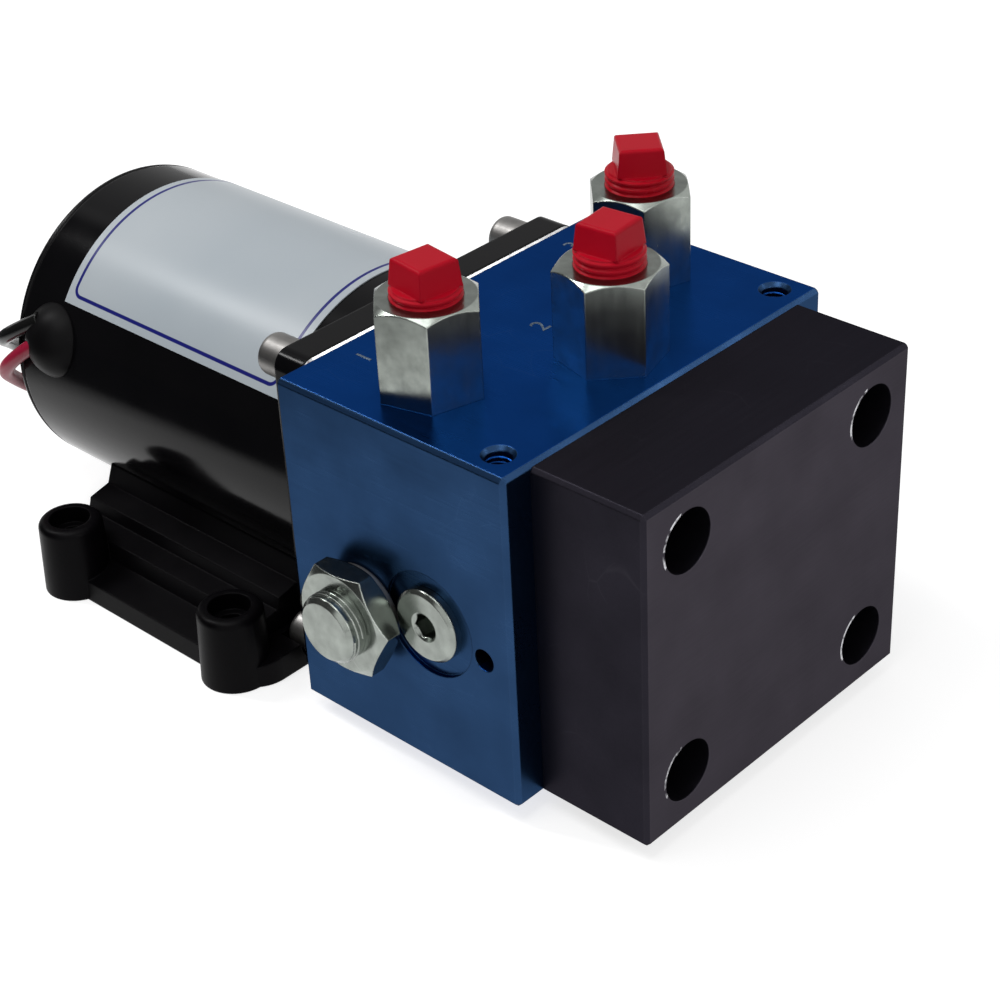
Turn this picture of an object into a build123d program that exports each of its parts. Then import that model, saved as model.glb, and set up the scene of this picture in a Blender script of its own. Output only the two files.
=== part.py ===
from build123d import *
import math
import os

# Layout. The origin is the centre of the four base holes, on the floor. +X runs from the motor to the cover.
joint_x = 46.5
block_bottom = 3.5
block_length = 58.5
block_width = 92.5
block_height = 73.5
block_chamfer = 0.9

# End cover
cover_thickness = 25.8
cover_width = 78.5
cover_drop = 0.6
cover_chamfer = 0.8
screw_pitch_y = 54.8
screw_pitch_z = 50.9
screw_mid_z = 40.4
cover_bore_r = 6.35
cover_bore_depth = 13.0
cover_screw_r = 3.1
cover_head_r = 4.7
cover_head_height = 6.3
cover_screw_grip = 14.0
socket_flat = 5.0

# Motor flange and its screws
flange_width = 79.0
flange_height = 76.5
flange_thickness = 8.5
flange_corner = 3.5
flange_edge = 0.8
flange_spigot = 5.0
flange_screw_offset = 33.0
flange_screw_r = 2.9
flange_head_r = 4.4
flange_head_height = 7.5
flange_screw_grip = 11.0

# Motor
can_radius = 35.5
saddle_floor = 3.0
can_wall = 2.0
can_length = 92.5
end_cap_rim = 2.0
rim_seam = 0.4
cap_register = 3.0
cap_wall = 2.5
hub_length = 4.3
hub_pocket = 0.6
shaft_r = 4.0
running = 0.04
bushing_r = 7.5
bushing_length = 8.0
core_r = 27.5
core_gap = 11.5
core_front_gap = 5.0
slot_count = 12
slot_width = 5.0
slot_depth = 12.0
magnet_inner = 28.4
magnet_arc = 128.0
magnet_overhang = 5.0
turn_length = 8.0
commutator_r = 11.0
commutator_gap = 8.5
commutator_length = 9.5
brush_x = 6.0
brush_y = 5.0
brush_z = 10.0
holder_wall = 1.2
clip_width = 3.0
clip_reach = 2.0
clip_gauge = 0.4
clip_height = 3.4
brush_plate_gap = 3.0
brush_plate_thickness = 2.4
brush_plate_eye = 3.0

# Foil label on the can
label_rear_margin = 12.5
label_front_margin = 10.7
label_half_angle = 57.0
label_thickness = 0.25

# Rubber base
base_pitch_x = 53.0
base_pitch_y = 96.6
base_rear = -34.5
base_front = 36.0
base_half_width = 51.6
skirt_height = 4.5
step_y = 43.2
step_z = 10.0
shoulder_y = 37.5
shoulder_z = 13.5
lip_y = 29.0
lip_rise = 1.2
lip_slope = 2.4
notch_start = 28.5
boss_height = 17.0
boss_top_r = 7.0
boss_foot_r = 7.7
boss_edge = 1.6
boss_recess_r = 4.5
boss_recess_depth = 4.0
base_hole_r = 2.75
head_room = 0.8

# Ports on the top of the block: distance from the joint, across, and hexagon turn in degrees
ports = [(25.8, -30.0, 14.4), (43.8, 0.0, 45.6), (25.8, 30.0, 14.3)]
fitting_flat = 19.05
fitting_height = 19.2
fitting_spigot_r = 7.0
fitting_spigot_depth = 10.0
fitting_bore_r = 6.85
fitting_throat_r = 4.4
port_way_r = 3.0
ring_wire_r = 0.85
ring_mid_r = 8.15
ring_seat_r = 9.1

# Red plastic shipping plugs in the fittings
plug_turns = [-8.0, 6.0, 47.0]
plug_necks = [1.9, 3.3, 3.3]
plug_engaged = 8.5
plug_head_foot = 9.7
plug_head_top = 8.7
plug_head_height = 5.5
thread_pitch = 1.4
thread_depth = 0.5

# Relief adjuster and its lock nut on the -Y side
adjuster_x = 20.0
adjuster_z = 33.5
adjuster_r = 7.0
adjuster_depth = 15.25
adjuster_stand = 4.0
nut_flat = 21.15
nut_thickness = 5.2
nut_turn = 3.5
seal_washer_r = 9.6
seal_washer_thickness = 1.75
relief_bore_r = 5.0
relief_seat_y = -16.0
relief_seat_r = 2.0
poppet_length = 6.0
spring_wire_r = 0.55

# Gallery plug, screwed in beside it
gallery_x = 37.3
gallery_z = 37.1
gallery_head_r = 7.7
gallery_head_height = 2.3
gallery_plug_r = 6.4
gallery_plug_length = 9.0
gallery_seat_r = 11.2
gallery_seat_depth = 1.0
gallery_socket_flat = 4.8
gallery_way_r = 3.0

# Small tapped holes for a bracket
top_hole_x = 51.8
top_hole_y = 40.0
top_hole_r = 2.5
top_hole_depth = 12.0
top_countersink_r = 3.3
side_hole_x = 51.5
side_hole_z = 35.4
side_hole_r = 2.4
side_hole_depth = 9.0

# Shuttle valve across the block, above the pump shaft
shuttle_z = 54.5
shuttle_bore_r = 5.0
shuttle_plug_length = 8.25
spool_land_end = 7.0
spool_neck_r = 3.2
spool_pin_r = 1.2
spool_pin_gap = 1.6
seat_start = 11.0
seat_end = 15.0
seat_hole_r = 2.4
check_end = 20.0
chamber_y = 9.0
chamber_z = 51.0
chamber_way_r = 1.8
rise_y = -11.0
rise_r = 2.0

# Pump gears in the cover's pocket
gear_teeth = 10
gear_pitch_r = 10.0
gear_addendum = 1.7
gear_dedendum = 2.25
pressure_deg = 25.0
backlash = 0.12
gear_width = 12.0
gear_side_gap = 0.03
gear_tip_gap = 0.06
pin_r = 3.0
pin_grip = 8.0
relief_pocket_r = 4.0

# Shaft coupling and seal in the block's rear recess
coupling_r = 8.0
coupling_start = 1.5
coupling_length = 11.5
coupling_room_r = 10.0
coupling_room_depth = 14.0
seal_r = 8.0
seal_length = 5.0
shaft_end_gap = 0.5

# Seal ring between block and cover
cover_ring_r = 16.5
cover_ring_wire = 0.9
cover_groove_depth = 1.6

# Motor leads
lead_r = 1.7
lead_exit_gap = 2.5
grommet_r = 8.0
grommet_height = 4.8
grommet_angle = 162.5
grommet_neck_r = 3.5
terminal_length = 8.0
# Route points: x from the grommet's rear end, then y and z
red_points = [
    (8.0, -35.9, 50.4),
    (-4.1, -40.7, 41.5),
    (-12.1, -31.5, 31.0),
    (-12.5, -17.0, 18.5),
    (-12.0, -1.0, 8.5),
    (-13.0, 15.0, 1.75),
    (-14.0, 33.0, 1.75),
    (-24.0, 51.0, 1.75),
]
black_points = [
    (6.0, -34.5, 54.0),
    (-4.6, -39.4, 48.0),
    (-13.9, -29.8, 40.0),
    (-17.5, -18.5, 28.0),
    (-19.0, -11.0, 17.0),
    (-20.0, 6.0, 1.75),
    (-25.0, 25.0, 1.75),
    (-39.0, 42.0, 1.75),
]

# Values worked out from the ones above
block_top = block_bottom + block_height
front_x = joint_x + block_length
cover_front = front_x + cover_thickness
cover_top = block_top - cover_drop
flange_rear = joint_x - flange_thickness
can_rear = flange_rear - can_length
motor_rear = can_rear - end_cap_rim
axis_z = can_radius + saddle_floor
can_inner = can_radius - can_wall
side_y = -block_width / 2
idler_z = axis_z + 2 * gear_pitch_r
gear_tip_r = gear_pitch_r + gear_addendum
gear_start = front_x + gear_side_gap
pocket_depth = gear_width + 2 * gear_side_gap
fitting_top = block_top + fitting_height
shuttle_x = joint_x + ports[0][0]
saddle_r = can_radius
rear_bushing_start = can_rear - hub_pocket
commutator_start = can_rear + commutator_gap
core_start = commutator_start + commutator_length + core_gap
core_end = flange_rear - flange_spigot - core_front_gap - turn_length
label_start = can_rear + label_rear_margin
label_end = flange_rear - label_front_margin
grommet_rear = can_rear + lead_exit_gap
adjuster_inner_end = side_y + adjuster_depth
nut_seat_y = side_y - seal_washer_thickness
shuttle_blind = block_width / 2 - shuttle_plug_length


# Shape helpers
def rod_x(r, x0, x1, y=0.0, z=axis_z):
    return Pos((x0 + x1) / 2, y, z) * Rot(0, 90, 0) * Cylinder(r, abs(x1 - x0))


def rod_y(r, y0, y1, x, z):
    return Pos(x, (y0 + y1) / 2, z) * Rot(90, 0, 0) * Cylinder(r, abs(y1 - y0))


def rod_z(r, z0, z1, x, y):
    return Pos(x, y, (z0 + z1) / 2) * Cylinder(r, abs(z1 - z0))


def slab(x0, x1, y0, y1, z0, z1):
    return Pos((x0 + x1) / 2, (y0 + y1) / 2, (z0 + z1) / 2) * Box(x1 - x0, y1 - y0, z1 - z0)


def hexagon(flat, height, turn=0.0):
    return extrude(Rot(0, 0, turn) * RegularPolygon(flat / math.sqrt(3), 6), height)


def save(shape, name):
    export_step(shape, "parts/" + name + ".step")


# Coil spring along +Z from z=0: flat closed ends are left out
def coil(mid_r, wire_r, length, turns):
    rise = length - 2 * wire_r
    path = Helix(rise / turns, rise, mid_r)
    section = Plane(path @ 0, z_dir=path % 0) * Circle(wire_r)
    return Pos(0, 0, wire_r) * sweep(section, path=path, is_frenet=True)


# The turned chamfer that rounds off a hexagon's corners at height z
def rim_cut(flat, z, drop):
    corner = flat / math.sqrt(3)
    inner = flat / 2 - 0.15
    slope = drop / (corner - inner)
    low = z - slope * (corner + 2 - inner)
    outline = Polyline((inner, z), (corner + 2, low), (corner + 2, z + 1), (inner, z + 1), close=True)
    return revolve(Plane.XZ * make_face(outline), Axis.Z)


# Block
def bracket_holes():
    holes = []
    for side in (-1, 1):
        x = joint_x + top_hole_x
        y = side * top_hole_y
        hole = rod_z(top_hole_r, block_top - top_hole_depth, block_top + 1, x, y)
        sink = top_countersink_r - top_hole_r
        cone = Pos(x, y, block_top - sink / 2) * Cone(top_hole_r, top_countersink_r, sink)
        holes += [hole, cone]
    x = joint_x + side_hole_x
    holes.append(rod_y(side_hole_r, side_y - 1, side_y + side_hole_depth, x, side_hole_z))
    return holes


def port_bores():
    bores = []
    for along, across, turn in ports:
        x = joint_x + along
        bores.append(rod_z(fitting_spigot_r, block_top - fitting_spigot_depth, block_top + 1, x, across))
        bores.append(rod_z(ring_seat_r, block_top - 2 * ring_wire_r, block_top + 1, x, across))
        bores.append(rod_z(port_way_r, shuttle_z, block_top - 1, x, across))
    x = joint_x + ports[1][0]
    bores.append(rod_x(2.5, shuttle_x, x, 0, shuttle_z))
    return bores


def valve_bores():
    x = joint_x + adjuster_x
    bores = [rod_y(shuttle_bore_r, -shuttle_blind, block_width / 2 + 1, shuttle_x, shuttle_z)]
    bores.append(rod_y(adjuster_r, side_y - 1, adjuster_inner_end, x, adjuster_z))
    bores.append(rod_y(relief_bore_r, side_y, relief_seat_y, x, adjuster_z))
    bores.append(rod_y(relief_seat_r, relief_seat_y - 1, rise_y, x, adjuster_z))
    bores.append(rod_z(rise_r, adjuster_z, chamber_z, x, rise_y))
    x = joint_x + gallery_x
    seat_floor = side_y + gallery_seat_depth
    bores.append(rod_y(gallery_seat_r, side_y - 1, seat_floor, x, gallery_z))
    bores.append(rod_y(gallery_plug_r, side_y, seat_floor + gallery_plug_length, x, gallery_z))
    bores.append(rod_y(gallery_way_r, side_y, rise_y, x, gallery_z))
    bores.append(rod_z(rise_r, gallery_z, chamber_z, x, rise_y))
    for side in (-1, 1):
        y = side * chamber_y
        bores.append(rod_x(chamber_way_r, joint_x + adjuster_x, front_x + 1, y, chamber_z))
    return bores


def shaft_bores():
    bores = [rod_x(coupling_room_r, joint_x - 1, joint_x + coupling_room_depth)]
    bores.append(rod_x(seal_r, joint_x, joint_x + coupling_room_depth + seal_length))
    bores.append(rod_x(shaft_r + running, joint_x, front_x + 1))
    bores.append(rod_x(pin_r, front_x - pin_grip, front_x + 1, 0, idler_z))
    return bores


def screw_bores():
    bores = []
    for sy in (-1, 1):
        for sz in (-1, 1):
            y = sy * screw_pitch_y / 2
            z = screw_mid_z + sz * screw_pitch_z / 2
            bores.append(rod_x(cover_screw_r, front_x - cover_screw_grip, front_x + 1, y, z))
            y = sy * flange_screw_offset
            z = axis_z + sz * flange_screw_offset
            bores.append(rod_x(flange_screw_r, joint_x - 1, joint_x + flange_screw_grip, y, z))
    return bores


def manifold_block():
    body = slab(joint_x, front_x, side_y, -side_y, block_bottom, block_top)
    body = chamfer(body.edges(), block_chamfer)
    return body - (bracket_holes() + port_bores() + valve_bores() + shaft_bores() + screw_bores())


# Cover with the gear pocket in its inner face
def end_cover():
    half = cover_width / 2
    body = slab(front_x, cover_front, -half, half, block_bottom, cover_top)
    body = chamfer(body.edges().filter_by(Axis.X) + body.faces().sort_by(Axis.X)[-1].edges(), cover_chamfer)
    tip = gear_tip_r + gear_tip_gap
    cuts = [rod_x(tip, front_x - 1, front_x + pocket_depth, 0, z) for z in (axis_z, idler_z)]
    mesh_z = axis_z + gear_pitch_r
    for side in (-1, 1):
        cuts.append(rod_x(relief_pocket_r, front_x - 1, front_x + pocket_depth, side * 8.0, mesh_z))
    cuts.append(rod_x(shaft_r + running, front_x, front_x + pocket_depth + pin_grip))
    cuts.append(rod_x(pin_r, front_x, front_x + pocket_depth + pin_grip, 0, idler_z))
    for sy in (-1, 1):
        for sz in (-1, 1):
            y = sy * screw_pitch_y / 2
            z = screw_mid_z + sz * screw_pitch_z / 2
            cuts.append(rod_x(cover_screw_r, front_x - 1, cover_front, y, z))
            cuts.append(rod_x(cover_bore_r, cover_front - cover_bore_depth, cover_front + 1, y, z))
    body = body - cuts
    return body - ring_groove()


def stadium(r, x0, x1):
    ends = [rod_x(r, x0, x1, 0, z) for z in (axis_z, idler_z)]
    return ends[0] + ends[1] + slab(x0, x1, -r, r, axis_z, idler_z)


def ring_groove():
    outer = stadium(cover_ring_r + cover_ring_wire, front_x - 1, front_x + cover_groove_depth)
    return outer - stadium(cover_ring_r - cover_ring_wire, front_x - 2, front_x + 9)


def cover_seal():
    outer = stadium(cover_ring_r + cover_ring_wire, front_x, front_x + cover_groove_depth)
    return outer - stadium(cover_ring_r - cover_ring_wire, front_x - 1, front_x + 9)


# Socket head screw pointing along -X, head's outer face at x=0
def cap_screw(head_r, head_height, shank_r, shank_length, flat):
    head = rod_x(head_r, -head_height, 0, 0, 0)
    head = chamfer(head.edges().filter_by(GeomType.CIRCLE).sort_by(Axis.X)[-1], 0.5)
    shank = rod_x(shank_r, -head_height - shank_length, -head_height, 0, 0)
    socket = Rot(0, 90, 0) * hexagon(flat, 20)
    return head + shank - Pos(-head_height * 0.55, 0, 0) * socket


def cover_screws():
    floor_x = cover_front - cover_bore_depth
    length = floor_x - front_x + cover_screw_grip - 1.0
    group = []
    for sy in (-1, 1):
        for sz in (-1, 1):
            y = sy * screw_pitch_y / 2
            z = screw_mid_z + sz * screw_pitch_z / 2
            one = cap_screw(cover_head_r, cover_head_height, cover_screw_r, length, socket_flat)
            group.append(Pos(floor_x + cover_head_height, y, z) * one)
    return Compound(children=group)


# Flange, its screws, can and end cap
def motor_flange():
    y, z = flange_width / 2, flange_height / 2
    plate = slab(flange_rear, joint_x, -y, y, axis_z - z, axis_z + z)
    plate = fillet(plate.edges().filter_by(Axis.X), flange_corner)
    plate = chamfer(plate.faces().sort_by(Axis.X)[0].edges(), flange_edge)
    plate = chamfer(plate.faces().sort_by(Axis.X)[-1].edges(), flange_edge)
    plate = plate + rod_x(can_inner, flange_rear - flange_spigot, flange_rear)
    plate = plate - rod_x(bushing_r, joint_x - bushing_length, joint_x + 1)
    plate = plate - rod_x(shaft_r + 1.0, flange_rear - flange_spigot - 1, joint_x + 1)
    plate = plate - rod_x(can_inner - 5, flange_rear - flange_spigot - 1, flange_rear - 1)
    for sy in (-1, 1):
        for sz in (-1, 1):
            y = sy * flange_screw_offset
            plate = plate - rod_x(flange_screw_r, flange_rear - 1, joint_x + 1, y, axis_z + sz * flange_screw_offset)
    return plate


def flange_screws():
    group = []
    length = flange_thickness + flange_screw_grip - 1.0
    for sy in (-1, 1):
        for sz in (-1, 1):
            head = rod_x(flange_head_r, flange_rear - flange_head_height, flange_rear, 0, 0)
            head = fillet(head.edges().filter_by(GeomType.CIRCLE).sort_by(Axis.X)[0], 1.6)
            shank = rod_x(flange_screw_r, flange_rear, flange_rear + length, 0, 0)
            socket = Pos(flange_rear - flange_head_height - 1, 0, 0) * Rot(0, 90, 0) * hexagon(4.0, 3.5)
            one = head + shank - socket
            group.append(Pos(0, sy * flange_screw_offset, axis_z + sz * flange_screw_offset) * one)
    return Compound(children=group)


def grommet_neck(r0, r1, radius):
    spot = Pos(grommet_rear + grommet_r, 0, axis_z) * Rot(grommet_angle, 0, 0)
    return spot * Pos(0, (r0 + r1) / 2, 0) * Rot(90, 0, 0) * Cylinder(radius, r1 - r0)


def motor_can():
    can = rod_x(can_radius, can_rear, flange_rear)
    can = chamfer(can.edges().filter_by(GeomType.CIRCLE).sort_by(Axis.X)[0], rim_seam)
    can = can - rod_x(can_inner, can_rear - 1, flange_rear + 1)
    return can - grommet_neck(can_inner - 4, can_radius + 4, grommet_neck_r)


def rear_end_cap():
    cap = rod_x(can_radius, motor_rear, can_rear)
    cap = fillet(cap.edges().filter_by(GeomType.CIRCLE).sort_by(Axis.X)[0], 1.5)
    cap = chamfer(cap.edges().filter_by(GeomType.CIRCLE).sort_by(Axis.X)[-1], rim_seam)
    ring = rod_x(can_inner, can_rear, can_rear + cap_register)
    ring = ring - rod_x(can_inner - cap_wall, motor_rear, can_rear + 2 * cap_register)
    hub = rod_x(bushing_r + cap_wall, can_rear, can_rear + hub_length)
    return cap + ring + hub - rod_x(bushing_r, rear_bushing_start, can_rear + 2 * hub_length)


def front_bushing():
    return rod_x(bushing_r, joint_x - bushing_length, joint_x) - rod_x(shaft_r + running, 0, joint_x + 9)


def rear_bushing():
    start = rear_bushing_start
    return rod_x(bushing_r, start, can_rear + hub_length) - rod_x(shaft_r + running, start - 1, can_rear + 2 * hub_length)


def motor_label():
    outer = rod_x(can_radius + label_thickness, label_start, label_end) - rod_x(can_radius, label_start - 1, label_end + 1)
    reach = 3 * can_radius
    y, z = reach * math.sin(math.radians(label_half_angle)), reach * math.cos(math.radians(label_half_angle))
    fan = Polyline((0, 0), (y, z), (0, 2 * reach), (-y, z), close=True)
    wedge = Pos(label_start - 1, 0, axis_z) * (Plane.YZ * make_face(fan))
    return outer & extrude(wedge, label_end - label_start + 2, dir=(1, 0, 0))


# Armature
def armature_shaft():
    return rod_x(shaft_r, can_rear - 0.3, joint_x + coupling_start + coupling_length / 2 - shaft_end_gap / 2)


def slot_bar(r0, r1, width, x0, x1, turn):
    bar = slab(x0, x1, -width / 2, width / 2, r0, r1)
    return Pos(0, 0, axis_z) * Rot(turn, 0, 0) * bar


def armature_core():
    end = core_end
    core = rod_x(core_r, core_start, end) - rod_x(shaft_r, core_start - 1, end + 1)
    slots = []
    for k in range(slot_count):
        turn = k * 360 / slot_count
        slots.append(slot_bar(core_r - slot_depth, core_r - 2.5, slot_width, core_start - 1, end + 1, turn))
        slots.append(slot_bar(core_r - 3, core_r + 1, slot_width / 2.5, core_start - 1, end + 1, turn))
    return core - slots


def windings():
    end = core_end
    inner = core_r - slot_depth
    outer = core_r - 3.0
    rear = rod_x(outer, core_start - turn_length, core_start) - rod_x(inner, core_start - 2 * turn_length, end)
    front = rod_x(outer, end, end + turn_length) - rod_x(inner, core_start, end + 2 * turn_length)
    rear = fillet(rear.edges().filter_by(GeomType.CIRCLE).sort_by(Axis.X)[:2], 1.8)
    front = fillet(front.edges().filter_by(GeomType.CIRCLE).sort_by(Axis.X)[-2:], 1.8)
    coil_body = rear + front
    for k in range(slot_count):
        turn = k * 360 / slot_count
        coil_body = coil_body + slot_bar(inner + 0.4, outer - 0.2, slot_width - 0.4, core_start - 1, end + 1, turn)
    return coil_body


def commutator():
    end = commutator_start + commutator_length
    body = rod_x(commutator_r, commutator_start, end) - rod_x(shaft_r, commutator_start - 1, end + 1)
    gaps = []
    for k in range(slot_count):
        turn = (k + 0.5) * 360 / slot_count
        gaps.append(slot_bar(commutator_r - 0.8, commutator_r + 1, 0.6, commutator_start - 1, end + 1, turn))
    return body - gaps


def field_magnets():
    x0 = core_start - magnet_overhang
    x1 = core_end + magnet_overhang
    shell = rod_x(can_inner, x0, x1) - rod_x(magnet_inner, x0 - 1, x1 + 1)
    reach = 3 * can_inner
    half = math.radians(magnet_arc / 2)
    y, z = reach * math.cos(half), reach * math.sin(half)
    group = []
    for side in (-1, 1):
        fan = Polyline((0, 0), (side * y, z), (side * 2 * reach, 0), (side * y, -z), close=True)
        wedge = Pos(x0 - 1, 0, axis_z) * (Plane.YZ * make_face(fan))
        group.append((shell & extrude(wedge, x1 - x0 + 2, dir=(1, 0, 0))).solids()[0])
    return Compound(children=group)


# Brush gear: a moulded plate with two holders, above and below the commutator
def brush_plate():
    x0 = can_rear + brush_plate_gap
    x1 = x0 + brush_plate_thickness
    plate = rod_x(can_inner, x0, x1) - rod_x(bushing_r + brush_plate_eye, x0 - 1, x1 + 1)
    bx = commutator_start + commutator_length / 2
    for side in (-1, 1):
        z0 = commutator_r + 1.0
        z1 = commutator_r + brush_z + clip_height + 0.6
        lx, ly = brush_x / 2 + holder_wall, brush_y / 2 + holder_wall
        box = slab(x1, bx + lx, -ly, ly, z0, z1)
        hole = slab(bx - brush_x / 2, bx + brush_x / 2, -brush_y / 2, brush_y / 2, z0 - 1, z1 + 1)
        plate = plate + Pos(0, 0, axis_z) * Rot(0 if side > 0 else 180, 0, 0) * (box - hole)
    return plate


def brushes():
    bx = commutator_start + commutator_length / 2
    gap = 0.05
    group = []
    for turn in (0, 180):
        box = slab(bx - brush_x / 2 + gap, bx + brush_x / 2 - gap, -brush_y / 2 + gap, brush_y / 2 - gap,
                   commutator_r, commutator_r + brush_z)
        box = box - rod_x(commutator_r + 0.03, bx - 9, bx + 9, 0, 0)
        group.append(Pos(0, 0, axis_z) * Rot(turn, 0, 0) * box)
    return Compound(children=group)


def brush_springs():
    bx = commutator_start + commutator_length / 2
    z0 = commutator_r + brush_z
    group = []
    for turn in (0, 180):
        x0, x1, top = bx - clip_width / 2, bx + clip_width / 2, z0 + clip_height
        clip = slab(x0, x1, -clip_reach, clip_reach, z0, z0 + clip_gauge)
        clip = clip + slab(x0, x1, clip_reach - clip_gauge, clip_reach, z0, top)
        clip = clip + slab(x0, x1, -clip_reach, clip_reach, top - clip_gauge, top)
        group.append(Pos(0, 0, axis_z) * Rot(turn, 0, 0) * clip)
    return Compound(children=group)


# Coupling, pump shaft, gears
def shaft_coupling():
    x0 = joint_x + coupling_start
    sleeve = rod_x(coupling_r, x0, x0 + coupling_length)
    sleeve = chamfer(sleeve.edges().filter_by(GeomType.CIRCLE), 0.6)
    return sleeve - rod_x(shaft_r, x0 - 1, x0 + coupling_length + 1)


def pump_shaft():
    start = joint_x + coupling_start + coupling_length / 2 + shaft_end_gap / 2
    return rod_x(shaft_r, start, gear_start + gear_width + pin_grip - 1.0)


def shaft_seal():
    x0 = joint_x + coupling_room_depth
    ring = rod_x(seal_r, x0, x0 + seal_length) - rod_x(shaft_r + 0.02, x0 - 1, x0 + seal_length + 1)
    return ring - (rod_x(seal_r - 1.2, x0 - 1, x0 + 2.5) - rod_x(shaft_r + 1.2, x0 - 2, x0 + 3))


def involute(r):
    base = gear_pitch_r * math.cos(math.radians(pressure_deg))
    a = math.acos(min(1.0, base / r))
    return math.tan(a) - a


def gear_outline(turn):
    base = gear_pitch_r * math.cos(math.radians(pressure_deg))
    half = math.pi / (2 * gear_teeth) - backlash / (2 * gear_pitch_r) + involute(gear_pitch_r)
    root = gear_pitch_r - gear_dedendum
    flank = [base + (gear_tip_r - base) * k / 4 for k in range(5)]
    points = []
    for tooth in range(gear_teeth):
        mid = math.radians(turn) + tooth * 2 * math.pi / gear_teeth
        rise = [(root, mid - half)] + [(r, mid - half + involute(r)) for r in flank]
        fall = [(r, mid + half - involute(r)) for r in reversed(flank)] + [(root, mid + half)]
        points += [(r * math.cos(a), r * math.sin(a)) for r, a in rise + fall]
    return make_face(Polyline(points, close=True))


def gear(turn, bore):
    profile = gear_outline(turn) - Circle(bore)
    return extrude(Plane.YZ * profile, gear_width, dir=(1, 0, 0))


def drive_gear():
    return Pos(gear_start, 0, axis_z) * gear(90.0, shaft_r)


def idler_gear():
    return Pos(gear_start, 0, idler_z) * gear(270.0 + 180.0 / gear_teeth, pin_r + running)


def idler_pin():
    return rod_x(pin_r, front_x - pin_grip + 0.5, front_x + pocket_depth + pin_grip - 0.5, 0, idler_z)


# Port fittings, their sealing rings and the red plugs
def port_fitting(along, across, turn):
    body = Pos(0, 0, block_top) * hexagon(fitting_flat, fitting_height, turn)
    body = body - rim_cut(fitting_flat, fitting_top, 1.1)
    body = body + rod_z(fitting_spigot_r, block_top - fitting_spigot_depth, block_top, 0, 0)
    body = body - rod_z(fitting_bore_r, fitting_top - plug_engaged - 1.5, fitting_top + 1, 0, 0)
    body = body - rod_z(fitting_throat_r, block_top - fitting_spigot_depth - 1, fitting_top, 0, 0)
    return Pos(joint_x + along, across, 0) * body


def port_seal(along, across):
    return Pos(joint_x + along, across, block_top - ring_wire_r) * Torus(ring_mid_r, ring_wire_r)


def port_plug(along, across, turn, neck):
    low = fitting_top - plug_engaged
    top = fitting_top + neck
    outline = [(0, low), (fitting_bore_r - 1.0, low), (fitting_bore_r, low + 1.0), (fitting_bore_r, fitting_top)]
    z = fitting_top
    while z + thread_pitch < top - 0.3:
        outline.append((fitting_bore_r - thread_depth, z + thread_pitch * 0.3))
        outline.append((fitting_bore_r, z + thread_pitch * 0.75))
        outline.append((fitting_bore_r, z + thread_pitch))
        z += thread_pitch
    outline += [(fitting_bore_r - 0.6, top - 0.3), (fitting_bore_r - 0.6, top), (0, top)]
    body = revolve(Plane.XZ * make_face(Polyline(outline, close=True)), Axis.Z)
    foot = Plane.XY.offset(top) * Rectangle(plug_head_foot, plug_head_foot)
    cap = Plane.XY.offset(top + plug_head_height) * Rectangle(plug_head_top, plug_head_top)
    head = loft([foot, cap])
    head = fillet(head.edges().sort_by(Axis.Z)[-4:], 0.7)
    return Pos(joint_x + along, across, 0) * Rot(0, 0, turn) * (body + head)


# Adjuster, lock nut and relief valve
def adjuster_stud():
    outer = nut_seat_y - nut_thickness - adjuster_stand
    stud = rod_y(adjuster_r, outer, adjuster_inner_end - 2.5, joint_x + adjuster_x, adjuster_z)
    return chamfer(stud.edges().filter_by(GeomType.CIRCLE).sort_by(Axis.Y)[0], 0.9)


def lock_nut():
    body = hexagon(nut_flat, nut_thickness, nut_turn)
    body = body - rim_cut(nut_flat, nut_thickness, 1.0)
    body = body - Pos(0, 0, nut_thickness) * Rot(180, 0, 0) * rim_cut(nut_flat, nut_thickness, 1.0)
    body = body - Cylinder(adjuster_r, 4 * nut_thickness)
    spot = Pos(joint_x + adjuster_x, nut_seat_y, adjuster_z)
    return spot * Rot(90, 0, 0) * body


def seal_washer():
    x = joint_x + adjuster_x
    ring = rod_y(seal_washer_r, nut_seat_y, side_y, x, adjuster_z)
    ring = chamfer(ring.edges().filter_by(GeomType.CIRCLE), 0.3)
    return ring - rod_y(adjuster_r, nut_seat_y - 1, side_y + 1, x, adjuster_z)


def relief_poppet():
    x = joint_x + adjuster_x
    outline = Polyline((0, 0), (0.6, 0), (relief_seat_r + 1.2, 2.4), (relief_bore_r - running, 2.4),
                       (relief_bore_r - running, poppet_length), (0, poppet_length), close=True)
    body = revolve(Plane.XZ * make_face(outline), Axis.Z)
    return Pos(x, relief_seat_y + 0.6, adjuster_z) * Rot(90, 0, 0) * body


def relief_spring():
    start = relief_seat_y + 0.6 - poppet_length
    length = start - (adjuster_inner_end - 2.5) - 0.02
    body = coil(3.6, spring_wire_r, length, 3.5)
    return Pos(joint_x + adjuster_x, start - 0.01, adjuster_z) * Rot(90, 0, 0) * body


def gallery_plug():
    floor_y = side_y + gallery_seat_depth
    face_y = floor_y - gallery_head_height
    plug = rod_y(gallery_head_r, face_y, floor_y, 0, 0)
    plug = chamfer(plug.edges().filter_by(GeomType.CIRCLE).sort_by(Axis.Y)[0], 0.7)
    plug = plug + rod_y(gallery_plug_r, floor_y, floor_y + gallery_plug_length, 0, 0)
    socket = Pos(0, face_y + 5.0, 0) * Rot(90, 0, 0) * hexagon(gallery_socket_flat, 20, 12)
    cone = Pos(0, face_y + 0.3, 0) * Rot(90, 0, 0) * Cone(gallery_socket_flat * 0.5, gallery_socket_flat * 0.65, 0.6)
    return Pos(joint_x + gallery_x, 0, gallery_z) * (plug - socket - cone)


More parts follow.
